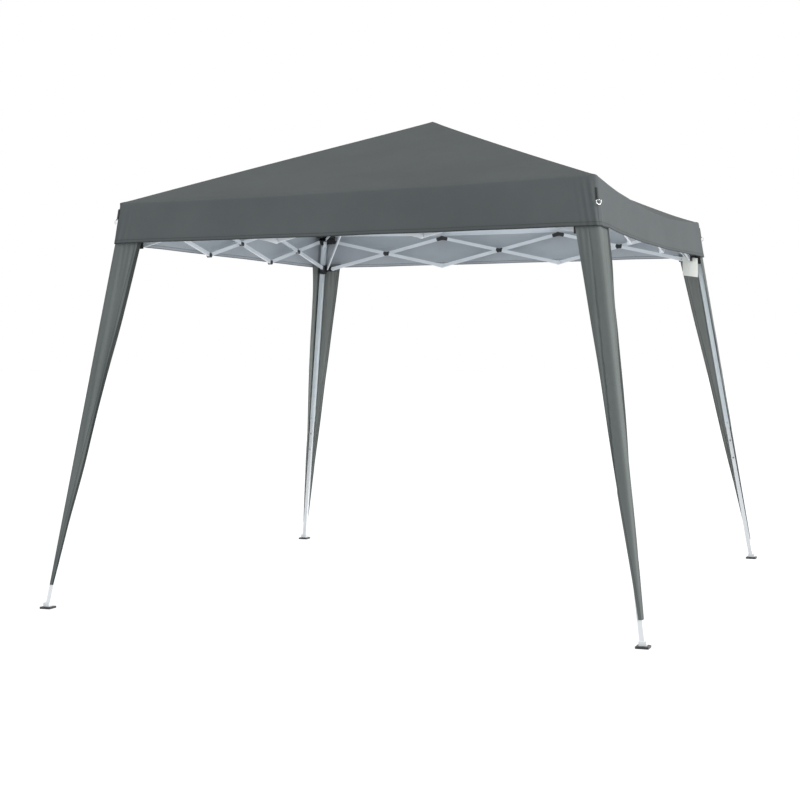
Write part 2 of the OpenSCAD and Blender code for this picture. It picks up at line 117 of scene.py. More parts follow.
lamp = bpy.data.objects.new("right_lamp", bpy.data.lights.new("right_lamp", "SUN"))
lamp.data.energy = 2.2
lamp.data.angle = radians(35)
lamp.rotation_euler = Vector((0.88, -0.14, 0.40)).to_track_quat("Z", "Y").to_euler()
bpy.context.collection.objects.link(lamp)

bpy.ops.object.select_all(action="DESELECT")
bpy.ops.mesh.primitive_plane_add(size=160, location=(0, 0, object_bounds()[0].z))
floor = bpy.context.object
floor.name = "floor"
fm = bpy.data.materials.new("pale_floor")
fm.use_nodes = True
ft = fm.node_tree
ft.nodes.clear()
f_out = ft.nodes.new("ShaderNodeOutputMaterial")
f_real = ft.nodes.new("ShaderNodeBsdfDiffuse")
f_real.inputs["Color"].default_value = (0.94, 0.94, 0.94, 1)
f_show = ft.nodes.new("ShaderNodeBsdfDiffuse")
f_show.inputs["Color"].default_value = (0.36, 0.36, 0.36, 1)
f_glow = ft.nodes.new("ShaderNodeEmission")
f_glow.inputs["Strength"].default_value = 0.80
f_add = ft.nodes.new("ShaderNodeAddShader")
f_mix = ft.nodes.new("ShaderNodeMixShader")
f_path = ft.nodes.new("ShaderNodeLightPath")
ft.links.new(f_show.outputs[0], f_add.inputs[0])
ft.links.new(f_glow.outputs[0], f_add.inputs[1])
f_to_eye = calc(ft, "MAXIMUM", f_path.outputs["Is Camera Ray"], f_path.outputs["Is Glossy Ray"])
ft.links.new(f_to_eye, f_mix.inputs[0])
ft.links.new(f_real.outputs[0], f_mix.inputs[1])
ft.links.new(f_add.outputs[0], f_mix.inputs[2])
ft.links.new(f_mix.outputs[0], f_out.inputs["Surface"])
floor.data.materials.append(fm)

# ---------------------------------------------------------------- roof of the canopy
# Coated polyester, silvered underneath, pulled over the roof rods from the peak to four corners.
# One curved sheet, hollow between the hips and sagging at the eaves; it is cut along the middle
# of each side and across the rods' knuckles so that it can fold with the rods.
eave_half = 1.228
peak_z = 2.528
hip_end_z = 2.026
eave_sag = {"front": 0.008, "right": 0.043, "back": 0.022, "left": 0.018}
eave_roll = {"front": 0.002, "right": 0.010, "back": 0.006, "left": 0.006}
hip_sag = {(-1, -1): 0.0, (1, -1): 0.0, (1, 1): 0.022, (-1, 1): 0.012}
corner_lift = {(-1, -1): 0.0, (1, -1): 0.026, (1, 1): 0.0, (-1, 1): 0.002}
roof_cells = 60
fold_cell = 68
cloth_thick = 0.0009
canopy_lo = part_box("canopy")[0]


def effect(name, outputs, inputs):
    """An empty shader node group with its sockets: (name, kind, start value)."""
    g = bpy.data.node_groups.new(name, "ShaderNodeTree")
    for n, kind, value in inputs:
        s = g.interface.new_socket(name=n, in_out="INPUT", socket_type=kind)
        if value is not None:
            s.default_value = value
    for n, kind in outputs:
        g.interface.new_socket(name=n, in_out="OUTPUT", socket_type=kind)
    return g, g.nodes.new("NodeGroupInput"), g.nodes.new("NodeGroupOutput")


def weave_effect():
    """Plain weave: two sets of threads along the cloth's own u and v, in metres."""
    g, i, o = effect(
        "plain_weave",
        [("Height", "NodeSocketFloat")],
        [("Vector", "NodeSocketVector", None), ("Threads", "NodeSocketFloat", 900.0)],
    )
    scale = g.nodes.new("ShaderNodeVectorMath")
    scale.operation = "SCALE"
    g.links.new(i.outputs["Vector"], scale.inputs[0])
    g.links.new(i.outputs["Threads"], scale.inputs["Scale"])
    parts = g.nodes.new("ShaderNodeSeparateXYZ")
    g.links.new(scale.outputs[0], parts.inputs[0])
    waves = [calc(g, "SINE", parts.outputs[axis]) for axis in ("X", "Y")]
    g.links.new(calc(g, "MULTIPLY", *waves), o.inputs["Height"])
    return g


def blotch_effect():
    """Broad, soft change of tone, as in dyed cloth and worn paint."""
    g, i, o = effect(
        "soft_blotches",
        [("Color", "NodeSocketColor"), ("Mask", "NodeSocketFloat")],
        [
            ("Vector", "NodeSocketVector", None),
            ("Scale", "NodeSocketFloat", 3.0),
            ("Dark", "NodeSocketColor", (0.1, 0.1, 0.1, 1)),
            ("Light", "NodeSocketColor", (0.2, 0.2, 0.2, 1)),
        ],
    )
    n = g.nodes.new("ShaderNodeTexNoise")
    n.inputs["Detail"].default_value = 5.0
    n.inputs["Roughness"].default_value = 0.55
    r = g.nodes.new("ShaderNodeMapRange")
    r.inputs["From Min"].default_value = 0.32
    r.inputs["From Max"].default_value = 0.68
    m = g.nodes.new("ShaderNodeMix")
    m.data_type = "RGBA"
    g.links.new(i.outputs["Vector"], n.inputs["Vector"])
    g.links.new(i.outputs["Scale"], n.inputs["Scale"])
    g.links.new(n.outputs["Fac"], r.inputs["Value"])
    g.links.new(r.outputs[0], m.inputs["Factor"])
    g.links.new(i.outputs["Dark"], m.inputs["A"])
    g.links.new(i.outputs["Light"], m.inputs["B"])
    g.links.new(m.outputs["Result"], o.inputs["Color"])
    g.links.new(r.outputs[0], o.inputs["Mask"])
    return g


def seam_effect():
    """A sewn band beside an edge or a hip: masks for its stitches, its folded cloth and its dark binding."""
    g, i, o = effect(
        "sewn_edge",
        [("Stitch", "NodeSocketFloat"), ("Fold", "NodeSocketFloat"), ("Binding", "NodeSocketFloat")],
        [
            ("Along", "NodeSocketFloat", 0.0),
            ("Across", "NodeSocketFloat", 0.0),
            ("Line At", "NodeSocketFloat", 0.018),
            ("Line Width", "NodeSocketFloat", 0.0012),
            ("Pitch", "NodeSocketFloat", 0.004),
            ("Binding Width", "NodeSocketFloat", 0.0045),
        ],
    )
    stitch_gap = 0.001
    off = calc(g, "SUBTRACT", i.outputs["Across"], i.outputs["Line At"])
    on_line = calc(g, "LESS_THAN", calc(g, "ABSOLUTE", off), i.outputs["Line Width"])
    dash = calc(g, "PINGPONG", i.outputs["Along"], i.outputs["Pitch"])
    masks = {
        "Stitch": calc(g, "MULTIPLY", on_line, calc(g, "GREATER_THAN", dash, stitch_gap)),
        "Fold": calc(g, "LESS_THAN", off, 0.0),
        "Binding": calc(g, "LESS_THAN", i.outputs["Across"], i.outputs["Binding Width"]),
    }
    for n, mask in masks.items():
        g.links.new(mask, o.inputs[n])
    return g


WEAVE, BLOTCH, SEWN = weave_effect(), blotch_effect(), seam_effect()


def use(tree, group, **values):
    """One of the groups above in a material's tree, with its start values."""
    n = tree.nodes.new("ShaderNodeGroup")
    n.node_tree = group
    for k, v in values.items():
        n.inputs[k.replace("_", " ")].default_value = v
    return n


def bump(tree, height, strength, distance, normal=None):
    """The normal after a bump of the given height."""
    n = tree.nodes.new("ShaderNodeBump")
    n.inputs["Strength"].default_value = strength
    n.inputs["Distance"].default_value = distance
    tree.links.new(height, n.inputs["Height"])
    if normal:
        tree.links.new(normal, n.inputs["Normal"])
    return n.outputs[0]


def tint(tree, mask, colour, over, kind="MIX"):
    """A colour with another one mixed over it, or multiplied in, where the mask is 1."""
    n = tree.nodes.new("ShaderNodeMix")
    n.data_type = "RGBA"
    n.blend_type = kind
    n.inputs["B"].default_value = over
    tree.links.new(mask, n.inputs["Factor"])
    tree.links.new(colour, n.inputs["A"])
    return n.outputs["Result"]


def cloth(name, dark, light, thread, roughness, sheen, seam="hem", metallic=0.0, crease=0.25):
    """Woven cloth on a piece's own UV, in metres.

    With a hem, u runs along the sewn edge and v across from it; a hip's seam lies where u and v are equal.
    """
    m = bpy.data.materials.new(name)
    m.use_nodes = True
    t = m.node_tree
    b = t.nodes["Principled BSDF"]
    b.inputs["Roughness"].default_value = roughness
    b.inputs["Metallic"].default_value = metallic
    b.inputs["Sheen Weight"].default_value = sheen
    b.inputs["Sheen Roughness"].default_value = 0.6
    b.inputs["Specular IOR Level"].default_value = 0.12
    uv = t.nodes.new("ShaderNodeUVMap")
    uv.uv_map = "cloth"
    where = t.nodes.new("ShaderNodeTexCoord")
    tone = use(t, BLOTCH, Scale=2.3, Dark=dark, Light=light)
    t.links.new(where.outputs["Object"], tone.inputs["Vector"])
    weave = use(t, WEAVE, Threads=2600.0)
    t.links.new(uv.outputs[0], weave.inputs["Vector"])
    lines = t.nodes.new("ShaderNodeTexNoise")
    lines.inputs["Scale"].default_value = 9.0
    lines.inputs["Detail"].default_value = 6.0
    lines.inputs["Roughness"].default_value = 0.6
    lines.inputs["Distortion"].default_value = 0.8
    t.links.new(where.outputs["Object"], lines.inputs["Vector"])
    soft = bump(t, lines.outputs["Fac"], crease, 0.012)
    fine = bump(t, weave.outputs["Height"], 0.12, 0.0003, soft)
    parts = t.nodes.new("ShaderNodeSeparateXYZ")
    t.links.new(uv.outputs[0], parts.inputs[0])
    u, v = parts.outputs["X"], parts.outputs["Y"]
    sewn = use(t, SEWN)
    t.links.new(u, sewn.inputs["Along"])
    if seam == "hip":
        t.links.new(calc(t, "ABSOLUTE", calc(t, "SUBTRACT", u, v)), sewn.inputs["Across"])
        sewn.inputs["Binding Width"].default_value = 0.004
    else:
        t.links.new(v, sewn.inputs["Across"])
    folded, stitch, binding = (sewn.outputs[n] for n in ("Fold", "Stitch", "Binding"))
    colour = tint(t, folded, tone.outputs["Color"], (0.90, 0.90, 0.90, 1), "MULTIPLY")
    colour = tint(t, stitch, colour, thread)
    colour = tint(t, binding, colour, (0.42, 0.42, 0.42, 1), "MULTIPLY")
    t.links.new(colour, b.inputs["Base Color"])
    t.links.new(bump(t, folded, 0.5, 0.0008, fine), b.inputs["Normal"])
    return m


# The roof's cloth is given a darker tone than the same cloth on the valance: painted shade on the roof's
# top.
roof_cloth = cloth(
    "slate_polyester", (0.088, 0.097, 0.097, 1), (0.100, 0.110, 0.110, 1), (0.06, 0.065, 0.065, 1),
    0.75, 0.02, seam="hip", crease=0.10,
)
# The silvered underside is far lighter than the same coating on the valance's back: painted light on the
# roof's underside.
silver_lining = cloth(
    "silvered_underside", (0.80, 0.85, 0.90, 1), (0.88, 0.92, 0.96, 1), (0.3, 0.3, 0.3, 1),
    0.5, 0.0, seam="hip", crease=0.3,
)


def side_of(x, y):
    """The side of the canopy that a plan point belongs to."""
    if abs(y) >= abs(x):
        return "front" if y < 0 else "back"
    return "right" if x > 0 else "left"


def roof_point(x, y):
    """Where the cloth over plan point (x, y) lies."""
    a, b = abs(x) / eave_half, abs(y) / eave_half
    m = max(a, b)
    hip = 0.5 * (a + b + sqrt((a - b) ** 2 + 0.0001))
    u = min(a, b) / m if m > 1e-6 else 1.0
    across = 1 - u * u
    sag = eave_sag[side_of(x, y)] * m ** 2.2 * across + 0.010 * sin(pi * min(m, 1)) * across
    z = peak_z - (peak_z - hip_end_z) * (hip - 0.005 * exp(-m * 12)) - sag
    away = hypot(eave_half - abs(x), eave_half - abs(y))
    z -= eave_roll[side_of(x, y)] * across * min(1.0, max(0.0, (m - 0.974) / 0.026))
    z -= hip_sag[(1 if x > 0 else -1, 1 if y > 0 else -1)] * sin(pi * min(1.0, m) ** 2.5) * u ** 4
    for (cx, cy), lift in corner_lift.items():
        z += m * lift * max(0.0, 1 - hypot(eave_half * cx - x, eave_half * cy - y) / 2.4)
    if away < 0.05:
        z += 0.003 * (1 - away / 0.05) ** 2
    turn = atan2(eave_half - abs(y) + 1e-4, eave_half - abs(x) + 1e-4)
    z += 0.0022 * sin(turn * 17) * exp(-away / 0.22) * min(1.0, away / 0.05) * across
    z += 0.0035 * (noise.noise((x * 1.9, y * 1.9, 1.3))) * across
    z += 0.0016 * noise.noise((x * 6.0, y * 6.0, 4.1)) * across
    pull = 0.25 * sag * (m ** 6)
    if side_of(x, y) in ("front", "back"):
        y -= pull * (1 if y > 0 else -1)
    else:
        x -= pull * (1 if x > 0 else -1)
    if away < 1e-6:
        x, y = x * (1 - 0.0035 / eave_half), y * (1 - 0.0035 / eave_half)
    return Vector((x, y, z))


def thicken(o, thickness, offset=-1.0, lining=0):
    """Give the active sheet its thickness, with a lining material on the far side, and smooth it."""
    wall = o.modifiers.new("thickness", "SOLIDIFY")
    wall.thickness = thickness
    wall.offset = offset
    wall.material_offset = lining
    bpy.ops.object.modifier_apply(modifier=wall.name)
    bpy.ops.object.shade_smooth_by_angle(angle=radians(50))


def sheet_object(name, points, faces, uvs, outer, inner, out):
    """A cloth piece from its points, facing out and thickened on its inner side, with the lining there."""
    me = bpy.data.meshes.new(name)
    me.from_pydata(points, [], faces)
    layer = me.uv_layers.new(name="cloth")
    for loop in me.loops:
        layer.data[loop.index].uv = uvs[loop.vertex_index]
    me.materials.append(outer)
    me.materials.append(inner)
    me.update()
    if sum(Vector(p.normal).dot(out) for p in me.polygons) < 0:
        me.flip_normals()
    o = bpy.data.objects.new(name, me)
    bpy.context.collection.objects.link(o)
    bpy.ops.object.select_all(action="DESELECT")
    o.select_set(True)
    bpy.context.view_layer.objects.active = o
    thicken(o, cloth_thick, lining=1)
    return o


def roof_piece(name, c, outer_part):
    """A corner's quarter of the roof, on one side of its knuckle line."""
    sx, sy = CORNERS[c]
    step = eave_half / roof_cells
    index, points, uvs, faces = {}, [], [], []

    def vertex(i2, j2):
        # half-cell counts, so that cell centres have a place too
        key = (i2, j2)
        if key not in index:
            x, y = sx * i2 * step / 2, sy * j2 * step / 2
            index[key] = len(points)
            points.append(roof_point(x if i2 else sx * 1e-9, y if j2 else sy * 1e-9))
            uvs.append((i2 * step / 2, j2 * step / 2))
        return index[key]

    for i in range(roof_cells):
        for j in range(roof_cells):
            ring = [(2 * i, 2 * j), (2 * i + 2, 2 * j), (2 * i + 2, 2 * j + 2), (2 * i, 2 * j + 2)]
            mid = (2 * i + 1, 2 * j + 1)
            for k in range(4):
                p, q = ring[k], ring[(k + 1) % 4]
                middle = (p[0] + q[0] + mid[0] + p[1] + q[1] + mid[1]) / 6
                if (middle > fold_cell) == outer_part:
                    faces.append((vertex(*p), vertex(*q), vertex(*mid)))
    return sheet_object(name, points, faces, uvs, roof_cloth, silver_lining, Vector((0, 0, 1)))


for c, (sx, sy) in CORNERS.items():
    for outer_part in (True, False):
        o = roof_piece(f"roof_{'outer' if outer_part else 'inner'}_{c}", c, outer_part)
        rod = f"roof_rod_{'outer' if outer_part else 'inner'}_{c}"
        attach(o, rod)
        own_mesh(o)
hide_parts("canopy")

# ---------------------------------------------------------------- valance
# The band that hangs from the eaves, of the same cloth, with a turned and sewn bottom hem.
# Each half of a side is gathered to its own corner when the frame folds.
low_half = 1.253
low_z = canopy_lo.z
shoulder = 0.0045
hem_height = 0.022
hang_in = 0.026
hem_dip = {"front": 0.0, "right": 0.010, "back": 0.003, "left": 0.003}
slack_ends = 0.86
edge_round = 0.016
# Lighter than the roof's copy of this cloth, which is darkened there as painted shade.
valance_cloth = cloth(
    "slate_valance", (0.106, 0.117, 0.119, 1), (0.120, 0.131, 0.133, 1), (0.055, 0.06, 0.06, 1),
    0.72, 0.03, crease=0.12,
)
# The same silvered coating as under the roof, where it is drawn lighter as painted light.
valance_lining = cloth(
    "silvered_valance_back", (0.45, 0.48, 0.51, 1), (0.52, 0.55, 0.58, 1), (0.10, 0.11, 0.11, 1),
    0.5, 0.0, metallic=0.15, crease=0.2,
)
side_frame = {
    "front": lambda a, o: Vector((a, -o, 0)),
    "right": lambda a, o: Vector((o, a, 0)),
    "back": lambda a, o: Vector((a, o, 0)),
    "left": lambda a, o: Vector((-o, a, 0)),
}
drops = [0, 0.0015, 0.003, 0.005, 0.008, 0.012, 0.018, 0.027, 0.04]
drops += [0.055, 0.07, 0.085, 0.1, 0.115, 0.13, 0.145, 0.16, 0.175, 0.187]


def valance_piece(name, side, end):
    """end is -1 or 1: towards the low or the high end of the side's own axis."""
    step = eave_half / roof_cells
    # columns a cell apart, then four to a cell near the corner, where the pleats are
    alongs = [i * step for i in range(roof_cells - 7)]
    alongs += [eave_half - step * k / 4 for k in range(28, 3, -1)]
    alongs += [eave_half - step * f for f in (0.75, 0.5, 0.3, 0.15, 0.0)]
    place = side_frame[side]
    out = place(0, 1)
    gather = 0.0062 if (side, end) == ("front", 1) else 0.0024
    points, uvs, faces = [], [], []
    full = hip_end_z - low_z
    rows = [d / full for d in drops]
    rows += [1 - hem_height / full, 1 - hem_height / full * 0.97]
    rows += [1 - 0.5 * hem_height / full, 1 - 0.15 * hem_height / full, 1.0]
    rows = sorted(set(r for r in rows if r <= 1))
    top_corner = roof_point(*place(end * eave_half, eave_half).xy)
    diag = place(end, 1).normalized()
    side_seed = ord(side[0])
    for a in alongs:
        share = a / eave_half
        if a < eave_half - step + 1e-9:
            top = roof_point(*place(end * a, eave_half).xy)
        else:
            f = (a - (eave_half - step)) / step
            top = roof_point(*place(end * (eave_half - step), eave_half).xy).lerp(top_corner, f)
        corner = eave_half - a
        slack = max(0.0, 1 - (share / slack_ends) ** 2)
        for r in rows:
            # outline with a small round at the corner
            ca = share * low_half
            inset = 0.0
            if ca > low_half - edge_round:
                ang = (ca - (low_half - edge_round)) / edge_round * pi / 4
                ca = low_half - edge_round + edge_round * sin(ang)
                inset = edge_round * (1 - cos(ang))
            low = place(end * ca, low_half - inset - hang_in * slack)
            wander = 0.0025 * noise.noise((ca * end * 3.1, low_half, side_seed * 0.37))
            low.z = low_z - hem_dip[side] * slack + wander + 0.0025
            p = top.lerp(low, r)
            d = r * full
            bulge = shoulder * (1 - exp(-d / 0.004)) * min(1.0, corner / 0.02 + 0.35)
            free = sin(pi * min(1.0, r * 0.62))
            billow = 0.006 * free * noise.noise((a * end * 1.7, r * 0.6, side_seed * 0.7))
            crease = gather * sin(2 * pi * (corner + 0.020 * r) / 0.031 + 1.1 * end)
            crease *= exp(-corner / 0.034)
            crease *= 0.75 + 0.9 * noise.noise((corner * 31, r * 1.6, low_half + end))
            crease *= min(1, corner / 0.012)
            crease *= min(1, d / 0.03)
            crease *= 0.5 + 0.8 * r
            long_fold = 0.003 * noise.noise((a * end * 7.0, r * 1.1, side_seed * 1.9))
            long_fold *= min(1, d / 0.05)
            hem_out = 0.0008 if d > full - hem_height else 0.0
            n = out.lerp(diag, max(0.0, 1 - corner / 0.02)).normalized()
            billow *= min(1, corner / 0.1)
            p += n * (bulge + billow + crease + long_fold * min(1, corner / 0.05) + hem_out)
            points.append(p)
            uvs.append((a, full - d))
    n_r = len(rows)
    for i in range(len(alongs) - 1):
        for j in range(n_r - 1):
            faces.append((i * n_r + j, (i + 1) * n_r + j, (i + 1) * n_r + j + 1, i * n_r + j + 1))
    return sheet_object(name, points, faces, uvs, valance_cloth, valance_lining, out)


corner_at = {
    ("front", -1): "fl", ("front", 1): "fr", ("right", -1): "fr", ("right", 1): "br",
    ("back", -1): "bl", ("back", 1): "br", ("left", -1): "fl", ("left", 1): "bl",
}
for (side, end), c in corner_at.items():
    sx, sy = CORNERS[c]
    o = valance_piece(f"valance_{side}_{c}", side, end)
    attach(o, f"top_connector_{c}")
    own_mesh(o)

# ---------------------------------------------------------------- leg skirts
# A tapering strip of lighter coated polyester folded round the outside of each leg, sewn up
# under the valance and ending above the foot.
skirt_top_z = 1.842
skirt_low_z = 0.118
skirt_top_w = 0.142
skirt_low_w = 0.022
# share of the full width on the front or back face and on the side face
skirt_share = {"fl": (1.12, 1.0), "fr": (0.80, 1.3), "br": (1.0, 0.55), "bl": (1.0, 0.9)}
skirt_top_half = 1.2475
skirt_low_half = 1.4955
tube_width = 0.048
skirt_thread = (0.07, 0.075, 0.073, 1)
skirt_cloth = cloth(
    "grey_skirt_polyester", (0.139, 0.157, 0.150, 1), (0.160, 0.178, 0.171, 1), skirt_thread,
    0.68, 0.05, crease=0.22,
)
skirt_back = cloth(
    "grey_skirt_back", (0.215, 0.228, 0.215, 1), (0.240, 0.254, 0.240, 1), skirt_thread,
    0.62, 0.05, crease=0.22,
)


def skirt_piece(c):
    """The skirt of one leg: rows up the leg, columns from one face round the corner to the other."""
    sx, sy = CORNERS[c]
    rows, cols = 110, 24
    points, uvs, faces = [], [], []
    seed = sx * 1.7 + sy * 3.1
    for r in range(rows + 1):
        h = r / rows
        z = skirt_low_z + (skirt_top_z - skirt_low_z) * h
        half = skirt_low_half + (skirt_top_half - skirt_low_half) * h
        w = skirt_low_w + (skirt_top_w - skirt_low_w) * h
        for k in range(-cols, cols + 1):
            s = k / cols
            d = abs(s) * w * skirt_share[c][0 if s < 0 else 1]
            # the outer corner is a soft round, and both faces run inwards from it
            rr = 0.006 + 0.004 * h
            if s < 0:
                p, n = Vector((half - d, half, 0)), Vector((0, 1, 0))
            else:
                p, n = Vector((half, half - d, 0)), Vector((1, 0, 0))
            near = max(0.0, 1 - d / (2.2 * rr))
            p -= Vector((1, 1, 0)) * (rr * 0.42 * near * near)
            n = n.lerp(Vector((1, 1, 0)).normalized(), near).normalized()
            swell = sin(pi * min(1.0, h * 1.02)) ** 0.6
            turn = 2 * pi * d / (0.040 + 0.018 * h) + 1.7 * h + seed + (0.9 if s > 0 else 0)
            fold = 0.0034 * swell * sin(turn) * min(1, d / 0.02)
            fold += 0.004 * swell * noise.noise((d * 16 * (1 if s > 0 else -1), z * 1.5, seed))
            fold += 0.0022 * noise.noise((d * 7, z * 6.0, seed + 5)) * swell
            gathers = 0.0024 * exp((z - skirt_top_z) / 0.22)
            gathers *= sin(2 * pi * d / 0.027 + seed + 2.0 * h)
            fold += gathers * min(1, (skirt_top_z - z) / 0.03)
            curl = -0.003 * max(0.0, abs(s) - 0.86) / 0.14 * (0.3 + 0.7 * swell) * (0.4 + 0.6 * h)
            push = fold + curl - 0.0015
            # over the tube the cloth lies on it and never inside
            p += n * (max(push, 0.0006) if d < tube_width else push)
            edge = 0.006 * noise.noise((z * 2.3, 1 if s > 0 else -1, seed)) * swell * abs(s) ** 3
            if s < 0:
                p.x += edge
            else:
                p.y += edge
            points.append(Vector((sx * p.x, sy * p.y, z)))
            uvs.append((z, w - d))
    n_c = 2 * cols + 1
    for r in range(rows):
        for k in range(n_c - 1):
            faces.append((r * n_c + k, r * n_c + k + 1, (r + 1) * n_c + k + 1, (r + 1) * n_c + k))
    out = Vector((sx, sy, 0))
    return sheet_object(f"leg_skirt_{c}", points, faces, uvs, skirt_cloth, skirt_back, out)


for c, (sx, sy) in CORNERS.items():
    o = skirt_piece(c)
    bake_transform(o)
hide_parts("leg_skirts")

# ---------------------------------------------------------------- guy rings
# A plated wire ring on a short loop of dark webbing, sewn to each corner just under the eaves.
ring_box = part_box("guy_rings")
ring_r = 0.0125
wire_r = 0.0020
ring_z = (ring_box[0].z + ring_box[1].z) / 2


def metal(name, dark, light, roughness, metallic, scale=40.0, grain_depth=0.04):
    """Painted or bare metal, or moulded nylon: a fine grain and soft changes of tone and roughness."""
    m = bpy.data.materials.new(name)
    m.use_nodes = True
    t = m.node_tree
    b = t.nodes["Principled BSDF"]
    b.inputs["Metallic"].default_value = metallic
    where = t.nodes.new("ShaderNodeTexCoord")
    tone = use(t, BLOTCH, Scale=scale * 0.2, Dark=dark, Light=light)
    t.links.new(where.outputs["Object"], tone.inputs["Vector"])
    t.links.new(tone.outputs["Color"], b.inputs["Base Color"])
    rough = t.nodes.new("ShaderNodeMapRange")
    rough.inputs["To Min"].default_value = roughness * 0.85
    rough.inputs["To Max"].default_value = roughness * 1.2
    t.links.new(tone.outputs["Mask"], rough.inputs["Value"])
    t.links.new(rough.outputs[0], b.inputs["Roughness"])
    grain = t.nodes.new("ShaderNodeTexNoise")
    grain.inputs["Scale"].default_value = scale * 12
    grain.inputs["Detail"].default_value = 3.0
    t.links.new(where.outputs["Object"], grain.inputs["Vector"])
    t.links.new(bump(t, grain.outputs["Fac"], grain_depth, 0.0004), b.inputs["Normal"])
    return m


ring_metal = metal("plated_wire", (0.78, 0.79, 0.80, 1), (0.88, 0.89, 0.90, 1), 0.22, 1.0)
webbing = cloth(
    "dark_webbing", (0.055, 0.060, 0.060, 1), (0.070, 0.076, 0.076, 1), (0.12, 0.12, 0.12, 1),
    0.8, 0.2, crease=0.1,
)


def place_copy(mesh_object, name, sx, sy, out, z):
    """A copy of a piece drawn at the origin facing +X, turned to face a corner and set there."""
    o = mesh_object.copy()
    o.data = mesh_object.data.copy()
    o.name = name
    bpy.context.collection.objects.link(o)
    ang = atan2(sy, sx)
    for v in o.data.vertices:
        x, y, w = v.co
        v.co = (
            x * cos(ang) - y * sin(ang) + sx * out,
            x * sin(ang) + y * cos(ang) + sy * out,
            w + z,
        )
    o.data.update()
    return o


bpy.ops.object.select_all(action="DESELECT")
bpy.ops.mesh.primitive_torus_add(
    major_radius=ring_r, minor_radius=wire_r,
    major_segments=40, minor_segments=12, rotation=(0, pi / 2, 0),
)
ring_master = bpy.context.object
bpy.ops.object.transform_apply(location=True, rotation=True, scale=True)
ring_flat_z = 0.004
for v in ring_master.data.vertices:
    # the top of the ring is drawn flat where the webbing holds it
    if v.co.z > ring_flat_z:
        v.co.z = ring_flat_z + (v.co.z - ring_flat_z) * 0.45
        v.co.y *= 1.10
ring_master.data.materials.append(ring_metal)
bpy.ops.object.shade_smooth()
bpy.ops.object.select_all(action="DESELECT")
bpy.ops.mesh.primitive_grid_add(x_subdivisions=2, y_subdivisions=22, size=1)
tab_master = bpy.context.object
tab_w, tab_run = 0.014, 0.056
for v in tab_master.data.vertices:
    across, down = v.co.x * tab_w, (v.co.y + 0.5)
    drop = down * tab_run
    lift = 0.004 * max(0.0, (down - 0.86) / 0.14)
    v.co = (0.0005 + lift - abs(across) * 0.55, across, tab_run + 0.004 - drop)
tab_uv = tab_master.data.uv_layers.active
tab_uv.name = "cloth"
for loop in tab_master.data.loops:
    p = tab_master.data.vertices[loop.vertex_index].co
    tab_uv.data[loop.index].uv = (p.z, 0.5 * tab_w + p.y)
tab_master.data.materials.append(webbing)
thicken(tab_master, 0.0016, offset=0.0)
for c, (sx, sy) in CORNERS.items():
    lean = (low_half - eave_half) / (hip_end_z - low_z) * (hip_end_z - ring_z)
    out = eave_half + lean + 0.0025
    ring = place_copy(ring_master, f"guy_ring_{c}", sx, sy, out + 0.0032, ring_z)
    tab = place_copy(tab_master, f"ring_tab_{c}", sx, sy, out - 0.001, ring_z + 0.004)
    for v in tab.data.vertices:
        # the webbing follows the corner's lean
        up = v.co.z - ring_z
        k = up * (low_half - eave_half) / (hip_end_z - low_z)
        v.co.x -= sx * k
        v.co.y -= sy * k
    for piece, slot in ((ring, "ring_steel"), (tab, "roof_cloth")):
        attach(piece, f"top_connector_{c}")
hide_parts("guy_rings")
bpy.data.objects.remove(ring_master)
bpy.data.objects.remove(tab_master)

# ---------------------------------------------------------------- blank care tag
# A plain cream tag of coated paper tied under the back right corner, with nothing on it.
tag_paper = bpy.data.materials.new("cream_paper")
tag_paper.use_nodes = True
tp = tag_paper.node_tree
tp_b = tp.nodes["Principled BSDF"]
tp_b.inputs["Roughness"].default_value = 0.65
tp_w = tp.nodes.new("ShaderNodeTexCoord")
tp_tone = use(tp, BLOTCH, Scale=18.0, Dark=(0.70, 0.71, 0.655, 1), Light=(0.78, 0.785, 0.73, 1))
tp.links.new(tp_w.outputs["Object"], tp_tone.inputs["Vector"])
tp.links.new(tp_tone.outputs["Color"], tp_b.inputs["Base Color"])
bpy.ops.object.select_all(action="DESELECT")
bpy.ops.mesh.primitive_grid_add(x_subdivisions=10, y_subdivisions=12, size=1)
tag = bpy.context.object
tag.name = "blank_tag"
tag_w, tag_h = 0.086, 0.112
tag_x, tag_y, tag_z = 1.190, 1.160, 1.762
for v in tag.data.vertices:
    # a little curled, and askew as it hangs
    a, b = v.co.x * tag_w, v.co.y * tag_h
    v.co = (
        tag_x + a,
        tag_y + 0.010 * (a / 0.05) ** 2 - 0.006 * b / 0.06 + 0.25 * a,
        tag_z + b - 0.14 * a,
    )
tag.data.materials.append(tag_paper)
thicken(tag, 0.0009)
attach(tag, "top_connector_br")

# ---------------------------------------------------------------- black mouldings
# Top connectors, sliders and the roof hub: injection moulded nylon, faintly mottled, scuffed dull.
black_nylon = metal(
    "black_nylon", (0.020, 0.021, 0.023, 1), (0.034, 0.035, 0.037, 1),
    0.48, 0.0, scale=60.0, grain_depth=0.10,
)


def dress(node, material):
    """Give a CAD piece its material."""
    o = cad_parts[node]
    o.data.materials.clear()
    o.data.materials.append(material)


for c in CORNERS:
    dress(f"top_connector_{c}", black_nylon)
    dress(f"slider_{c}", black_nylon)
dress("roof_hub", black_nylon)

# ---------------------------------------------------------------- leg tubes
# Square steel tube, powder coated: a bluish silver upper tube, and a whiter lower tube that
# telescopes in it and stands in a black foot.
upper_paint = metal(
    "silver_powder_coat", (0.78, 0.85, 0.88, 1), (0.86, 0.92, 0.94, 1), 0.34, 0.0, scale=30.0,
)
foot_top = 0.0108
deep = 5.0


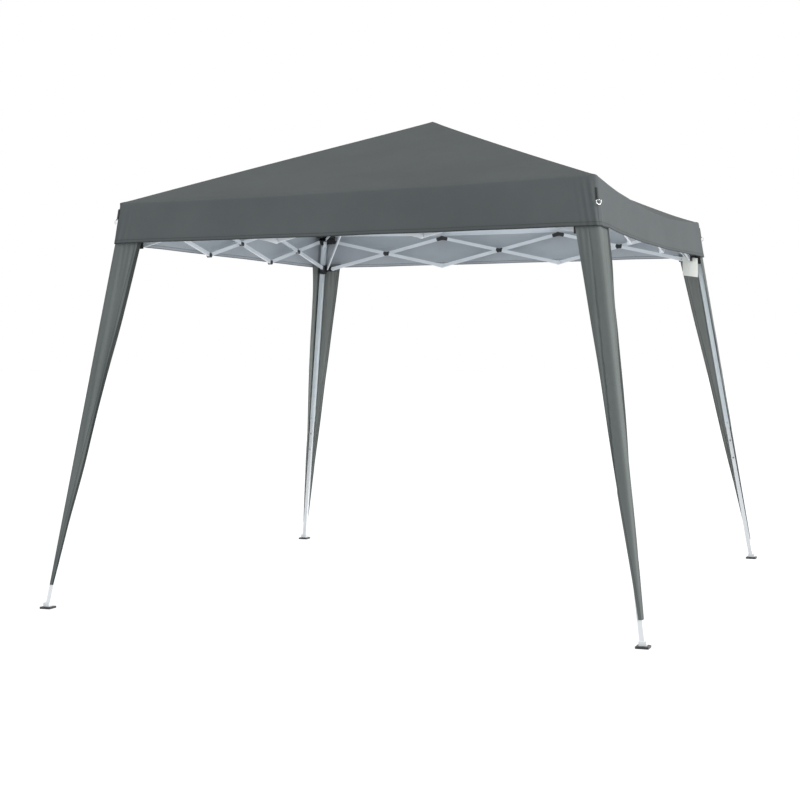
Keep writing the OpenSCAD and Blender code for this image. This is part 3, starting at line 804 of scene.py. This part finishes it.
def point_effect():
    """1 within a radius of a point, for a moulding that is part of a painted bar."""
    g, i, o = effect(
        "near_point",
        [("Mask", "NodeSocketFloat")],
        [
            ("Vector", "NodeSocketVector", None),
            ("Point", "NodeSocketVector", (0, 0, 0)),
            ("Radius", "NodeSocketFloat", 0.02),
        ],
    )
    d = g.nodes.new("ShaderNodeVectorMath")
    d.operation = "DISTANCE"
    g.links.new(i.outputs["Vector"], d.inputs[0])
    g.links.new(i.outputs["Point"], d.inputs[1])
    near = calc(g, "LESS_THAN", d.outputs["Value"], i.outputs["Radius"])
    g.links.new(near, o.inputs["Mask"])
    return g


NEAR = point_effect()


def with_moulding(name, base_dark, base_light, roughness, metallic, points):
    """Painted metal that turns to black nylon within a radius of each point."""
    m = metal(name, base_dark, base_light, roughness, metallic, scale=30.0)
    t = m.node_tree
    b = t.nodes["Principled BSDF"]
    where = t.nodes.new("ShaderNodeTexCoord")
    mask = None
    for p, r in points:
        n = use(t, NEAR, Point=p, Radius=r)
        t.links.new(where.outputs["Object"], n.inputs["Vector"])
        mask = calc(t, "MAXIMUM", mask, n.outputs["Mask"]) if mask else n.outputs["Mask"]
    had = b.inputs["Base Color"].links[0].from_socket
    t.links.new(tint(t, mask, had, (0.024, 0.025, 0.027, 1)), b.inputs["Base Color"])
    if metallic > 0:
        bare = t.nodes.new("ShaderNodeMapRange")
        bare.inputs["To Min"].default_value = metallic
        bare.inputs["To Max"].default_value = 0.0
        t.links.new(mask, bare.inputs["Value"])
        t.links.new(bare.outputs[0], b.inputs["Metallic"])
    return m


for c, (sx, sy) in CORNERS.items():
    dress(f"upper_leg_{c}", upper_paint)
    # so far below that its edge cuts the foot off almost level
    foot = (sx * 1.5, sy * 1.5, -deep)
    white_paint = with_moulding(
        f"white_powder_coat_{c}", (0.86, 0.87, 0.88, 1), (0.93, 0.94, 0.95, 1),
        0.36, 0.0, [(foot, deep + foot_top)],
    )
    dress(f"lower_leg_{c}", white_paint)
button_steel = metal("button_steel", (0.55, 0.56, 0.57, 1), (0.68, 0.69, 0.70, 1), 0.3, 1.0)
for c in CORNERS:
    dress(f"leg_button_{c}", button_steel)

# ---------------------------------------------------------------- truss bars
# Flat-sided tubes in silver-white paint, crossed in pairs. Each has a black cap where it meets the
# eave line and a black washer at its crossing, and on the left side at its lower pin too.
bar_dark, bar_light = (0.74, 0.77, 0.80, 1), (0.84, 0.87, 0.90, 1)
cap_inset = 0.013
cap_r, crossing_r, low_pin_r, no_pin_r = 0.040, 0.0205, 0.022, 0.001
# the plan axis that a side's bars run along, and which way they are numbered
bar_run = {"front": (0, 1), "right": (1, 1), "back": (0, -1), "left": (1, -1)}
for side, (axis, along) in bar_run.items():
    for kind in ("a", "b"):
        for k in (1, 2, 3):
            node = f"bar_{side}_{kind}{k}"
            lo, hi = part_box(node)
            mid = (lo + hi) / 2
            top = mid.copy()
            top.z = hi.z - cap_inset
            top_at_low_end = (along > 0) == (kind == "a")
            top[axis] = lo[axis] + cap_inset if top_at_low_end else hi[axis] - cap_inset
            low = mid * 2 - top
            pin_r = low_pin_r if side == "left" else no_pin_r
            black = [(tuple(mid), crossing_r), (tuple(top), cap_r), (tuple(low), pin_r)]
            paint = with_moulding(
                f"bar_paint_{side}_{kind}{k}", bar_dark, bar_light, 0.36, 0.2, black,
            )
            dress(node, paint)

# ---------------------------------------------------------------- roof frame
# Round rods from each corner to the hub, hinged half way, and a flat strut to each slider.
rod_paint = metal("rod_paint", (0.72, 0.75, 0.78, 1), (0.82, 0.85, 0.88, 1), 0.36, 0.15, scale=30.0)
for c in CORNERS:
    for part in ("roof_rod_outer", "roof_rod_inner", "roof_strut"):
        dress(f"{part}_{c}", rod_paint)
